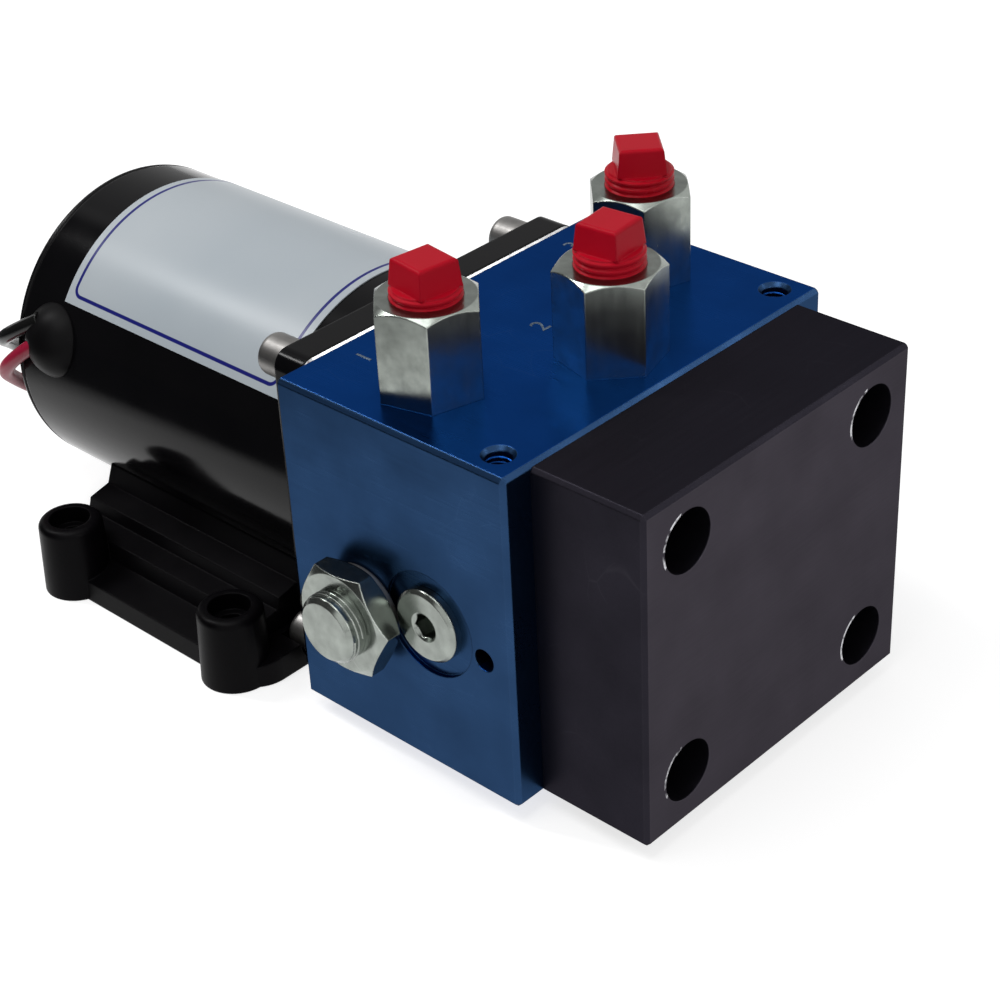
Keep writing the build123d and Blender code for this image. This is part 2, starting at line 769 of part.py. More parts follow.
# Shuttle valve: spool, two seats, two checks and their springs, and the far plug
def shuttle_spool():
    r = shuttle_bore_r - running
    end = spool_land_end
    body = rod_y(r, -end, end, shuttle_x, shuttle_z)
    body = body - (rod_y(r + 1, -end / 3, end / 3, shuttle_x, shuttle_z) - rod_y(spool_neck_r, -end, end, shuttle_x, shuttle_z))
    return body + rod_y(spool_pin_r, -seat_end + spool_pin_gap, seat_end - spool_pin_gap, shuttle_x, shuttle_z)


def check_seat(side):
    ring = rod_y(shuttle_bore_r, side * seat_start, side * seat_end, shuttle_x, shuttle_z)
    return ring - rod_y(seat_hole_r, side * (seat_start - 1), side * (seat_end + 1), shuttle_x, shuttle_z)


def check_poppet(side):
    r = shuttle_bore_r - running
    length = check_end - seat_end
    outline = Polyline((0, 0), (r, 0), (r, length - 0.8), (seat_hole_r + 0.3, length), (0, length), close=True)
    body = revolve(Plane.XZ * make_face(outline), Axis.Z)
    body = body - [Rot(0, 0, k * 120) * Pos(r, 0, 0) * Cylinder(1.2, 4 * length) for k in range(3)]
    spot = Pos(shuttle_x, side * check_end, shuttle_z)
    return spot * Rot(90 if side > 0 else -90, 0, 0) * body


def check_spring(side):
    length = shuttle_blind - check_end - 0.02
    body = coil(3.7, spring_wire_r, length, 4)
    spot = Pos(shuttle_x, side * (check_end + 0.01), shuttle_z)
    return spot * Rot(-90 if side > 0 else 90, 0, 0) * body


def shuttle_plug():
    plug = rod_y(shuttle_bore_r, shuttle_blind, block_width / 2 - 0.5, shuttle_x, shuttle_z)
    socket = Pos(shuttle_x, block_width / 2 - 4, shuttle_z) * Rot(-90, 0, 0) * hexagon(4.0, 9)
    return plug - socket


# Rubber base: one moulding, saddle and four feet
def base_profile():
    lip_z = axis_z - math.sqrt(saddle_r**2 - lip_y**2) + lip_rise
    half = [(base_half_width, 0), (base_half_width - 0.5, skirt_height), (step_y, skirt_height + 1.2), (step_y - 0.6, step_z),
            (shoulder_y, step_z + 0.8), (shoulder_y - 0.8, shoulder_z), (lip_y + lip_slope, shoulder_z + 1.2), (lip_y + 0.6, lip_z),
            (0, lip_z)]
    points = half + [(-y, z) for y, z in reversed(half[:-1])]
    return make_face(Polyline(points, close=True))


def mounting_base():
    body = extrude(Plane.YZ * base_profile(), base_front - base_rear, dir=(1, 0, 0))
    body = Pos(base_rear, 0, 0) * body
    length, mid = base_front - base_rear, (base_front + base_rear) / 2
    outline = RectangleRounded(length, 2 * base_half_width, boss_foot_r)
    body = body & Pos(mid, 0, 0) * extrude(outline, 3 * boss_height)
    for side in (-1, 1):
        low_y, high_y = sorted((side * (lip_y + lip_slope), side * (base_half_width + 1)))
        body = body - slab(notch_start, base_front + 1, low_y, high_y, skirt_height + 1.2, 2 * shoulder_z)
    for sx in (-1, 1):
        for sy in (-1, 1):
            x, y = sx * base_pitch_x / 2, sy * base_pitch_y / 2
            boss = Pos(x, y, boss_height / 2) * Cone(boss_foot_r, boss_top_r, boss_height)
            body = body + fillet(boss.edges().filter_by(GeomType.CIRCLE).sort_by(Axis.Z)[-1], boss_edge)
    body = body - rod_x(saddle_r, base_rear - 9, base_front + 9)
    for sx in (-1, 1):
        for sy in (-1, 1):
            x, y = sx * base_pitch_x / 2, sy * base_pitch_y / 2
            body = body - rod_z(base_hole_r, -1, boss_height + 9, x, y)
            body = body - rod_z(boss_recess_r, boss_height - boss_recess_depth, boss_height + 9, x, y)
    low_z = axis_z - flange_screw_offset
    for side in (-1, 1):
        pocket = rod_x(flange_head_r + head_room, flange_rear - flange_head_height - head_room, base_front + 9,
                       side * flange_screw_offset, low_z)
        body = body - pocket
    return body


# Leads
def route(points):
    return [(grommet_rear + x, y, z) for x, y, z in points]


def lead_hole(points):
    a, b = points[0], points[1]
    length = math.dist(a, b)
    way = tuple((q - p) / length for p, q in zip(a, b))
    return extrude(Plane(a, z_dir=way) * Circle(lead_r + 0.1), length)


def lead_grommet():
    ball_r = (grommet_r**2 + grommet_height**2) / (2 * grommet_height)
    spot = Pos(grommet_rear + grommet_r, 0, axis_z) * Rot(grommet_angle, 0, 0)
    body = spot * Pos(0, can_radius + grommet_height - ball_r, 0) * Sphere(ball_r)
    body = body - rod_x(can_radius, grommet_rear - 2 * ball_r, grommet_rear + 4 * ball_r)
    body = body + grommet_neck(can_inner - 2, can_radius + 1, grommet_neck_r)
    return body - lead_hole(route(red_points)) - lead_hole(route(black_points))


def lead(points):
    radii = []
    for a, b, c in zip(points, points[1:], points[2:]):
        one = [q - p for p, q in zip(a, b)]
        two = [q - p for p, q in zip(b, c)]
        l1, l2 = math.hypot(*one), math.hypot(*two)
        turn = math.acos(sum(p * q for p, q in zip(one, two)) / l1 / l2)
        radii.append(0.45 * min(l1, l2) / math.tan(turn / 2))
    print("lead radii mm", [round(r, 1) for r in radii])
    path = FilletPolyline(*points, radius=radii)
    tube = sweep(Plane(path @ 0, z_dir=path % 0) * Circle(lead_r), path=path)
    print("lead length mm", round(path.length, 1), "volume ratio", round(tube.volume / (path.length * math.pi * lead_r**2), 4))
    return tube


def terminal(points):
    a, b = points[-2], points[-1]
    length = math.dist(a, b)
    way = tuple((q - p) / length for p, q in zip(a, b))
    return extrude(Plane(b, z_dir=way) * Circle(lead_r), terminal_length)


os.makedirs("parts", exist_ok=True)
save(manifold_block(), "manifold_block")
save(end_cover(), "end_cover")
save(cover_seal(), "cover_seal")
save(cover_screws(), "cover_screws")
save(motor_flange(), "motor_flange")
save(flange_screws(), "flange_screws")
save(motor_can(), "motor_can")
save(rear_end_cap(), "rear_end_cap")
save(front_bushing(), "front_bushing")
save(rear_bushing(), "rear_bushing")
save(motor_label(), "motor_label")
save(armature_shaft(), "armature_shaft")
save(armature_core(), "armature_core")
save(windings(), "armature_windings")
save(commutator(), "commutator")
save(field_magnets(), "field_magnets")
save(brush_plate(), "brush_plate")
save(brushes(), "brushes")
save(brush_springs(), "brush_springs")
save(shaft_coupling(), "shaft_coupling")
save(pump_shaft(), "pump_shaft")
save(shaft_seal(), "shaft_seal")
save(drive_gear(), "drive_gear")
save(idler_gear(), "idler_gear")
save(idler_pin(), "idler_pin")
for number, (along, across, turn) in enumerate(ports, 1):
    save(port_fitting(along, across, turn), f"port_fitting_{number}")
    save(port_seal(along, across), f"port_seal_{number}")
    save(port_plug(along, across, plug_turns[number - 1], plug_necks[number - 1]), f"port_plug_{number}")
save(adjuster_stud(), "adjuster_stud")
save(lock_nut(), "lock_nut")
save(seal_washer(), "seal_washer")
save(relief_poppet(), "relief_poppet")
save(relief_spring(), "relief_spring")
save(gallery_plug(), "gallery_plug")
save(shuttle_spool(), "shuttle_spool")
save(shuttle_plug(), "shuttle_plug")
for number, side in ((1, -1), (2, 1)):
    save(check_seat(side), f"check_seat_{number}")
    save(check_poppet(side), f"check_poppet_{number}")
    save(check_spring(side), f"check_spring_{number}")
save(mounting_base(), "mounting_base")
save(lead_grommet(), "lead_grommet")
save(lead(route(red_points)), "red_lead")
save(lead(route(black_points)), "black_lead")
save(terminal(route(red_points)), "red_terminal")
save(terminal(route(black_points)), "black_terminal")
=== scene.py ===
# %% [markdown]
# A small hydraulic pump for a boat's steering: a direct current motor on a rubber saddle base, a blue
# anodised valve block in the middle and a dark cover over the pump gears. The solids come from CAD and
# stay where they are. This file gives them their finishes, and adds the few shapes that CAD leaves out.

# %% Load the solids
import math

import bpy
from mathutils import Matrix, Vector


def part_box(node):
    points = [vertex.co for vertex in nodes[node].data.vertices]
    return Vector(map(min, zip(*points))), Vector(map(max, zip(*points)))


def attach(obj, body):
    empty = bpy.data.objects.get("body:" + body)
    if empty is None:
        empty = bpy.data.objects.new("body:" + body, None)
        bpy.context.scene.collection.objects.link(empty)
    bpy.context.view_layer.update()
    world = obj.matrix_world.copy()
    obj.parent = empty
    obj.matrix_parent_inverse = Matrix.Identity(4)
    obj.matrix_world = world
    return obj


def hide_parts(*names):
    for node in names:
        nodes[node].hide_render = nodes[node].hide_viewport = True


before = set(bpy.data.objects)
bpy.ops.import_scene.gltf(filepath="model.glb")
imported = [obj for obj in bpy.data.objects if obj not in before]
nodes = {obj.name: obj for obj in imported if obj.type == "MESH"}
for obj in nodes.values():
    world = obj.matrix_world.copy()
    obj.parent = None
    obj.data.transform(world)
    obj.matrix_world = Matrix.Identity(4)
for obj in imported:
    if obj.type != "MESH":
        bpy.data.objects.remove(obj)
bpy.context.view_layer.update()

# %% [markdown]
# The camera comes first, because every finish is judged through it. It could be placed by eye. Here the
# block's corners were matched to a photograph, which fixed the place, the turn and the lens all at once.

# %% Camera
camera_data = bpy.data.cameras.new("camera")
camera_data.sensor_width = 36.0
camera_data.lens = 82.2
camera_data.clip_start = 0.01
camera = bpy.data.objects.new("camera", camera_data)
right = Vector((0.732402, 0.679458, -0.043853))
up = Vector((-0.337955, 0.418690, 0.842903))
back = Vector((0.591078, -0.602524, 0.536276))
place = Vector((0.33844, -0.28500, 0.28548))
rows = [[right[k], up[k], back[k], place[k]] for k in range(3)]
camera.matrix_world = Matrix(rows + [[0, 0, 0, 1]])
bpy.context.scene.collection.objects.link(camera)
bpy.context.scene.camera = camera
print("camera is", round(place.length * 1000), "mm from the middle of the base, lens", camera_data.lens)

# %% [markdown]
# Two leads leave a moulded grommet on the can and lie on the bench. A lead could be a tube bent at
# corners, but real wire has no corners. A NURBS curve draws one smooth line near its control points, and
# its round bevel gives the insulation its thickness. The bevel is one metre deep and each point's radius
# scales it to the wire's, because Blender reckons a curve's bounding box from the points' radii alone.

# %% A lead as a smooth curve
LEAD_RADIUS = 0.0017


def lead(name, points_mm):
    data = bpy.data.curves.new(name, "CURVE")
    data.dimensions = "3D"
    data.resolution_u = 16
    data.bevel_depth = 1.0
    data.bevel_resolution = 5
    data.use_fill_caps = True
    spline = data.splines.new("NURBS")
    spline.points.add(len(points_mm) - 1)
    for point, place_mm in zip(spline.points, points_mm):
        point.co = (*[value / 1000 for value in place_mm], 1.0)
        point.radius = LEAD_RADIUS
    spline.order_u = 3
    spline.use_endpoint_u = True
    wire = bpy.data.objects.new(name, data)
    bpy.context.scene.collection.objects.link(wire)
    return wire


print("a lead is", round(2000 * LEAD_RADIUS, 1), "mm thick")

# %% The two leads
LYING = 1.75
red_points = [(-44.0, -35.9, 50.4), (-56.1, -40.7, 41.5), (-64.1, -31.5, 31.0), (-64.5, -17.0, 18.5),
              (-64.0, -1.0, 8.5), (-65.0, 15.0, LYING), (-66.0, 33.0, LYING), (-76.0, 51.0, LYING)]
black_points = [(-46.0, -34.5, 54.0), (-56.6, -39.4, 48.0), (-65.9, -29.8, 40.0), (-69.5, -18.5, 28.0),
                (-71.0, -11.0, 17.0), (-72.0, 6.0, LYING), (-77.0, 25.0, LYING), (-91.0, 42.0, LYING)]
red_wire = lead("red_lead_wire", red_points)
black_wire = lead("black_lead_wire", black_points)
facts = (
    (red_wire, red_points, 0.1239, "red"),
    (black_wire, black_points, 0.1209, "black"),
)
for wire, points, length, node in facts:
    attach(wire, "housing")
    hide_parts(node + "_lead")
print("leads of", len(red_points), "and", len(black_points), "control points")

# %% [markdown]
# A material is a graph of nodes. Writing each node out by hand takes five lines, so one small helper adds
# a node, fills in its values and joins its inputs to what feeds them.

# %% Helpers for node graphs


def add(tree, kind, feeds=None, **values):
    made = tree.nodes.new(kind)
    for key, value in values.items():
        if hasattr(made, key):
            setattr(made, key, value)
        else:
            made.inputs[key.replace("_", " ")].default_value = value
    for socket, source in (feeds or {}).items():
        tree.links.new(source, made.inputs[socket])
    return made


def maths(tree, operation, a, b=None, clamp=False):
    made = tree.nodes.new("ShaderNodeMath")
    made.operation = operation
    made.use_clamp = clamp
    for index, value in enumerate([a] if b is None else [a, b]):
        if isinstance(value, (int, float)):
            made.inputs[index].default_value = value
        else:
            tree.links.new(value, made.inputs[index])
    return made.outputs[0]


def new_group(name, inputs, outputs):
    group = bpy.data.node_groups.new(name, "ShaderNodeTree")
    for label, kind, value in inputs:
        socket = group.interface.new_socket(label, in_out="INPUT", socket_type="NodeSocket" + kind)
        if value is not None:
            socket.default_value = value
    for label, kind in outputs:
        group.interface.new_socket(label, in_out="OUTPUT", socket_type="NodeSocket" + kind)
    return group, group.nodes.new("NodeGroupInput").outputs, group.nodes.new("NodeGroupOutput").inputs


def use_group(tree, group, feeds=None, **values):
    made = tree.nodes.new("ShaderNodeGroup")
    made.node_tree = group
    for key, value in values.items():
        made.inputs[key.replace("_", " ")].default_value = value
    for socket, source in (feeds or {}).items():
        tree.links.new(source, made.inputs[socket])
    return made.outputs


print("node helpers ready")

# %% [markdown]
# Machined edges are never quite sharp: they catch the light as a thin bright line, and there the colour
# is worn through first. The edges could be bevelled in the mesh, but the solids are fixed. The Bevel node
# reads how the surface turns nearby, which gives both a softer normal and a mask of the edges.

# %% Shared effect: rounded and worn edges
edge_group, came, gave = new_group(
    "worn_edges",
    [("Radius", "Float", 0.0005), ("Breakup", "Float", 900.0), ("Gain", "Float", 3.0)],
    [("Normal", "Vector"), ("Wear", "Float")])
bevel = add(edge_group, "ShaderNodeBevel", {"Radius": came["Radius"]}, samples=6)
surface = add(edge_group, "ShaderNodeNewGeometry")
turn = add(edge_group, "ShaderNodeVectorMath", {0: bevel.outputs[0], 1: surface.outputs["Normal"]},
           operation="DOT_PRODUCT")
spot = add(edge_group, "ShaderNodeTexCoord")
breakup_noise = add(edge_group, "ShaderNodeTexNoise", {"Vector": spot.outputs["Object"], "Scale": came["Breakup"]},
            Detail=3.0)
bending = maths(edge_group, "SUBTRACT", 1.0, turn.outputs["Value"])
edge = maths(edge_group, "MULTIPLY", bending, came["Gain"], True)
ragged = maths(edge_group, "POWER", breakup_noise.outputs[0], 1.6)
worn = maths(edge_group, "MULTIPLY", edge, ragged, True)
edge_group.links.new(bevel.outputs[0], gave["Normal"])
edge_group.links.new(worn, gave["Wear"])
print("group", edge_group.name)

# %% [markdown]
# A milled or drawn face shows fine parallel lines. Noise that is stretched far along one axis makes such
# lines. The stretch is given as a vector, so the same group serves lines along any axis.

# %% Shared effect: tool lines
lines_group, came, gave = new_group(
    "tool_lines",
    [("Stretch", "Vector", (40.0, 4000.0, 4000.0)), ("Detail", "Float", 2.0)],
    [("Lines", "Float")])
spot = add(lines_group, "ShaderNodeTexCoord")
stretched = add(lines_group, "ShaderNodeVectorMath", {0: spot.outputs["Object"], 1: came["Stretch"]},
                operation="MULTIPLY")
noise = add(lines_group, "ShaderNodeTexNoise", {"Vector": stretched.outputs[0], "Detail": came["Detail"]},
            Scale=1.0)
lines_group.links.new(noise.outputs[0], gave["Lines"])
print("group", lines_group.name)

# %% [markdown]
# No finish is even over a whole part. Cloudy patches, a few millimetres across, change the colour and the
# gloss a little. They are plain noise with its contrast raised.

# %% Shared effect: cloudy patches
cloud_group, came, gave = new_group(
    "cloudy_patches",
    [("Scale", "Float", 60.0), ("Contrast", "Float", 2.0), ("Detail", "Float", 4.0)],
    [("Patches", "Float")])
spot = add(cloud_group, "ShaderNodeTexCoord")
noise = add(cloud_group, "ShaderNodeTexNoise",
            {"Vector": spot.outputs["Object"], "Scale": came["Scale"], "Detail": came["Detail"]})
off_middle = maths(cloud_group, "SUBTRACT", noise.outputs[0], 0.5)
spread = maths(cloud_group, "MULTIPLY", off_middle, came["Contrast"])
cloud_group.links.new(maths(cloud_group, "ADD", spread, 0.5, True), gave["Patches"])
print("group", cloud_group.name)

# %% [markdown]
# A used part has short hairline scratches that run every way. The borders between the cells of a Voronoi
# texture are thin lines. Bent by one noise, and kept only where a second one is high, they look like that.

# %% Shared effect: hairline scratches
THINNESS = 60.0
BARE_UP_TO = 0.55
scratch_group, came, gave = new_group(
    "hairline_scratches",
    [("Scale", "Float", 90.0), ("Amount", "Float", 0.5)],
    [("Scratches", "Float")])
spot = add(scratch_group, "ShaderNodeTexCoord")
bent = add(scratch_group, "ShaderNodeTexNoise", {"Vector": spot.outputs["Object"]}, Scale=35.0, Detail=1.0)
mixed = add(scratch_group, "ShaderNodeVectorMath", {0: bent.outputs["Color"], 2: spot.outputs["Object"]},
            operation="MULTIPLY_ADD")
mixed.inputs[1].default_value = (0.03, 0.03, 0.03)
cells = add(scratch_group, "ShaderNodeTexVoronoi", {"Vector": mixed.outputs[0], "Scale": came["Scale"]},
            feature="DISTANCE_TO_EDGE")
off_border = maths(scratch_group, "MULTIPLY", cells.outputs[0], THINNESS)
thin = maths(scratch_group, "SUBTRACT", 1.0, off_border, True)
gate = add(scratch_group, "ShaderNodeTexNoise", {"Vector": spot.outputs["Object"]}, Scale=70.0, Detail=2.0)
over_gate = maths(scratch_group, "SUBTRACT", gate.outputs[0], BARE_UP_TO, True)
kept = maths(scratch_group, "MULTIPLY", over_gate, 8.0, True)
short = maths(scratch_group, "MULTIPLY", thin, kept)
drawn = maths(scratch_group, "MULTIPLY", short, came["Amount"])
scratch_group.links.new(drawn, gave["Scratches"])
print("group", scratch_group.name)

# %% [markdown]
# A helper starts each finish with one Principled shader. What is the same all over the surface, such as
# metalness or the clear coat, is typed on the shader itself. What varies is fed in afterwards.

# %% A finish starts with one shader


def finish(name, colour, rough, metal=0.0, level=0.5, tint=1.0):
    made = bpy.data.materials.new(name)
    made.use_nodes = True
    tree = made.node_tree
    shader = tree.nodes["Principled BSDF"]
    shader.inputs["Base Color"].default_value = (*colour, 1.0)
    shader.inputs["Roughness"].default_value = rough
    shader.inputs["Metallic"].default_value = metal
    shader.inputs["Specular IOR Level"].default_value = level
    shader.inputs["Specular Tint"].default_value = (tint, tint, tint, 1.0)
    made.diffuse_color = (*colour, 1.0)
    return made, tree, shader


def blend_colours(tree, factor, low, high):
    made = tree.nodes.new("ShaderNodeMix")
    made.data_type = "RGBA"
    tree.links.new(factor, made.inputs[0])
    for index, value in ((6, low), (7, high)):
        if isinstance(value, tuple):
            made.inputs[index].default_value = (*value, 1.0)
        else:
            tree.links.new(value, made.inputs[index])
    return made.outputs[2]


def spread_values(tree, factor, low, high):
    made = tree.nodes.new("ShaderNodeMapRange")
    tree.links.new(factor, made.inputs[0])
    made.inputs["To Min"].default_value = low
    made.inputs["To Max"].default_value = high
    return made.outputs[0]


def relief(tree, shader, height, strength, distance, normal=None):
    made = tree.nodes.new("ShaderNodeBump")
    made.inputs["Strength"].default_value = strength
    made.inputs["Distance"].default_value = distance
    tree.links.new(height, made.inputs["Height"])
    if normal is not None:
        tree.links.new(normal, made.inputs["Normal"])
    tree.links.new(made.outputs[0], shader.inputs["Normal"])


print("finish helpers ready")

# %% [markdown]
# Machined metal is one recipe with different numbers: a base colour with cloudy patches, tool lines that
# change the gloss, a few scratches, and edges where a paler metal shows through. One function holds the
# recipe, and each metal finish below calls it with its own values. The recipe can also paint light and
# shade into the faces across one axis, as a colour of their own: the block's top gets a brighter blue
# than its sides, and the cover's end is paler than its sides, for how the light falls on them.

# %% Recipe for a machined metal
EDGE_RADIUS = 0.0004
LINE_HEIGHT = 0.000002
CLOUD_GLOSS = 0.04
SQUARE_ON = 0.8


def machined(name, colour, worn_colour, rough, metal, stretch, patches=70.0, change=0.75, wear=3.0,
             scratch=0.4, gloss_change=0.08, tint=1.0, lit_face_axis="X", lit_face_colour=None):
    made, tree, shader = finish(name, colour, rough, metal, tint=tint)
    cloud = use_group(tree, cloud_group, Scale=patches, Contrast=2.2)["Patches"]
    lines = use_group(tree, lines_group, Stretch=stretch)["Lines"]
    edges = use_group(tree, edge_group, Radius=EDGE_RADIUS, Gain=wear)
    marks = use_group(tree, scratch_group, Amount=scratch)["Scratches"]
    darker = tuple(value * change for value in colour)
    base = blend_colours(tree, cloud, darker, colour)
    # Painted light and shade: the faces across one axis get their own colour, for how the light falls on
    # them.
    if lit_face_colour is not None:
        facing = add(tree, "ShaderNodeSeparateXYZ", {0: add(tree, "ShaderNodeTexCoord").outputs["Normal"]})
        on_lit_face = maths(tree, "GREATER_THAN", maths(tree, "ABSOLUTE", facing.outputs[lit_face_axis]), SQUARE_ON)
        darker_lit_face = tuple(value * change for value in lit_face_colour)
        base = blend_colours(tree, on_lit_face, base, blend_colours(tree, cloud, darker_lit_face, lit_face_colour))
    shown = maths(tree, "MAXIMUM", edges["Wear"], marks)
    tree.links.new(blend_colours(tree, shown, base, worn_colour), shader.inputs["Base Color"])
    along_lines = spread_values(tree, lines, -gloss_change, gloss_change)
    over_patches = spread_values(tree, cloud, rough + CLOUD_GLOSS, rough - CLOUD_GLOSS)
    tree.links.new(maths(tree, "ADD", along_lines, over_patches), shader.inputs["Roughness"])
    relief(tree, shader, lines, 0.5, LINE_HEIGHT, edges["Normal"])
    return made


# The block's top and the cover's end get a lit face colour: painted light, brighter than their sides.
blue_anodised = machined("blue_anodised_aluminium", (0.0225, 0.057, 0.135), (0.07, 0.14, 0.27), 0.31, 1.0,
                         (30.0, 2600.0, 2600.0), change=0.76, wear=1.6, scratch=0.09, tint=0.5,
                         lit_face_axis="Z", lit_face_colour=(0.0075, 0.064, 0.290))
charcoal_anodised = machined("charcoal_anodised_cover", (0.023, 0.021, 0.029), (0.09, 0.085, 0.10), 0.44,
                             0.92, (2400.0, 60.0, 2400.0), change=0.82, wear=2.4, scratch=0.10, tint=0.4,
                             lit_face_axis="X", lit_face_colour=(0.056, 0.050, 0.062))
zinc_steel = machined("zinc_plated_steel", (0.345, 0.375, 0.345), (0.68, 0.68, 0.66), 0.22, 1.0,
                      (900.0, 900.0, 50.0), patches=260.0, change=0.62, wear=1.5, scratch=0.2,
                      gloss_change=0.05)
dull_steel = machined("dull_screw_steel", (0.34, 0.33, 0.32), (0.55, 0.55, 0.54), 0.42, 1.0,
                      (90.0, 1500.0, 1500.0), patches=260.0, change=0.62, wear=1.5)
black_oxide = machined("black_oxide_screw", (0.018, 0.017, 0.018), (0.12, 0.12, 0.12), 0.34, 0.8,
                       (90.0, 2500.0, 2500.0), patches=300.0, change=0.6, wear=1.2)
print("metal finishes made")

# %% [markdown]
# The rims of the cover's counterbores catch the light in small glints, and these are a painted highlight.
# The four glints could be four thin rings of mesh, but they have no height. So the cover's finish measures
# how far a point is from the nearest screw's axis, and paints bright metal on part of a thin ring round it,
# broken into patches, on the side towards the lamps.

# %% Painted glints on the cover's rims
RIM_RADIUS = 0.00635
RIM_WIDTH = 0.00050
HEAD_RADIUS = 0.0047
GLINT_SIDE_SLANT = 0.45
GLINT_SIDE_FROM = 0.75 * RIM_RADIUS
heads_low, heads_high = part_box("cover_screws")
heads_middle = (heads_low + heads_high) / 2
axis_y = (heads_high[1] - heads_low[1]) / 2 - HEAD_RADIUS
axis_z = (heads_high[2] - heads_low[2]) / 2 - HEAD_RADIUS
tree = charcoal_anodised.node_tree
shader = tree.nodes["Principled BSDF"]
split = add(tree, "ShaderNodeSeparateXYZ", {0: add(tree, "ShaderNodeTexCoord").outputs["Object"]})
across = []
for socket, middle, reach in (("Y", heads_middle[1], axis_y), ("Z", heads_middle[2], axis_z)):
    off_middle = maths(tree, "SUBTRACT", split.outputs[socket], middle)
    nearest_axis = maths(tree, "MULTIPLY", maths(tree, "SIGN", off_middle), reach)
    across.append(maths(tree, "SUBTRACT", off_middle, nearest_axis))
squares = [maths(tree, "MULTIPLY", value, value) for value in across]
from_axis = maths(tree, "SQRT", maths(tree, "ADD", *squares))
off_ring = maths(tree, "ABSOLUTE", maths(tree, "SUBTRACT", from_axis, RIM_RADIUS + RIM_WIDTH / 2))
on_ring = maths(tree, "LESS_THAN", off_ring, RIM_WIDTH / 2)
# Painted highlight: only the side of each rim towards the lamps gets the glint.
towards_glint_side = maths(tree, "SUBTRACT", maths(tree, "MULTIPLY", across[1], GLINT_SIDE_SLANT), across[0])
on_glint_side = maths(tree, "GREATER_THAN", towards_glint_side, GLINT_SIDE_FROM)
broken = use_group(tree, cloud_group, Scale=700.0, Contrast=5.0, Detail=2.0)["Patches"]
# Painted highlight: bright metal colour on the glinting, broken part of each ring.
glint = maths(tree, "MULTIPLY", maths(tree, "MULTIPLY", on_ring, on_glint_side), broken)
before = shader.inputs["Base Color"].links[0].from_socket
tree.links.new(blend_colours(tree, glint, before, (0.75, 0.75, 0.78)), shader.inputs["Base Color"])
print("rims at", round(axis_y * 1000, 1), "and", round(axis_z * 1000, 1), "mm from the middle")

# %% [markdown]
# The can, its rear cap and the flange are sprayed in gloss black. Paint pulls into a faint orange peel as
# it dries, which is a very low, soft bump, and dust dulls it in patches. The flange is a plate with
# chamfered edges, and along the middle of the top one a painted highlight is drawn: a thin line of bright
# metal where a lamp catches the chamfer. The Bevel node would mark both sides of a chamfer, so this mask
# asks for its place and its slope instead.

# %% Gloss black paint, with a painted highlight on the flange
FLANGE_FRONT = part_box("manifold_block")[0][0]
HIGHLIGHT_BEHIND_FRONT = 0.00040
HIGHLIGHT_HALF_WIDTH = 0.00020
CHAMFER_SLOPE = 0.7
SLOPE_SPREAD = 0.15


def rubbed_edge_mask(tree):
    spot = add(tree, "ShaderNodeTexCoord")
    along = add(tree, "ShaderNodeSeparateXYZ", {0: spot.outputs["Object"]}).outputs["X"]
    upward = add(tree, "ShaderNodeSeparateXYZ", {0: spot.outputs["Normal"]}).outputs["Z"]
    off_line = maths(tree, "ABSOLUTE", maths(tree, "SUBTRACT", along, FLANGE_FRONT - HIGHLIGHT_BEHIND_FRONT))
    on_line = maths(tree, "LESS_THAN", off_line, HIGHLIGHT_HALF_WIDTH)
    off_slope = maths(tree, "ABSOLUTE", maths(tree, "SUBTRACT", upward, CHAMFER_SLOPE))
    sloping = maths(tree, "LESS_THAN", off_slope, SLOPE_SPREAD)
    return maths(tree, "MULTIPLY", on_line, sloping)


def painted(name, level, highlight_colour=None):
    made, tree, shader = finish(name, (0.0030, 0.0028, 0.0035), 0.12, level=level)
    cloud = use_group(tree, cloud_group, Scale=45.0, Contrast=1.6)["Patches"]
    peel = use_group(tree, cloud_group, Scale=420.0, Contrast=1.0, Detail=1.0)["Patches"]
    edges = use_group(tree, edge_group, Radius=0.0006, Gain=1.2)
    shown = blend_colours(tree, cloud, (0.0018, 0.0018, 0.0023), (0.0036, 0.0033, 0.0040))
    edge_mark, edge_mark_colour = edges["Wear"], (0.06, 0.06, 0.06)
    if highlight_colour is not None:
        # Painted highlight: on the flange, the edge mark is a bright metal line along the top front chamfer,
        # not wear.
        breakup_noise = use_group(tree, cloud_group, Scale=600.0, Contrast=2.5)["Patches"]
        edge_mark = maths(tree, "MULTIPLY", rubbed_edge_mask(tree), spread_values(tree, breakup_noise, 0.6, 1.0))
        edge_mark_colour = highlight_colour
        tree.links.new(edge_mark, shader.inputs["Metallic"])
    tree.links.new(blend_colours(tree, edge_mark, shown, edge_mark_colour), shader.inputs["Base Color"])
    tree.links.new(spread_values(tree, cloud, 0.09, 0.17), shader.inputs["Roughness"])
    relief(tree, shader, peel, 0.25, 0.00003, edges["Normal"])
    return made


gloss_black = painted("gloss_black_paint", 0.13)
# The flange's paint carries the painted highlight line along its top front chamfer.
flange_black_highlight = painted("rubbed_black_paint", 0.10, highlight_colour=(0.80, 0.80, 0.80))
print("paints", gloss_black.name, flange_black_highlight.name)

# %% [markdown]
# The foil label has a navy line printed inside its edge, with rounded corners. The line could be a thin
# strip of mesh, but print has no height. Here it is drawn by distance: how far a point is from a rounded
# rectangle, measured along the motor and around the can.

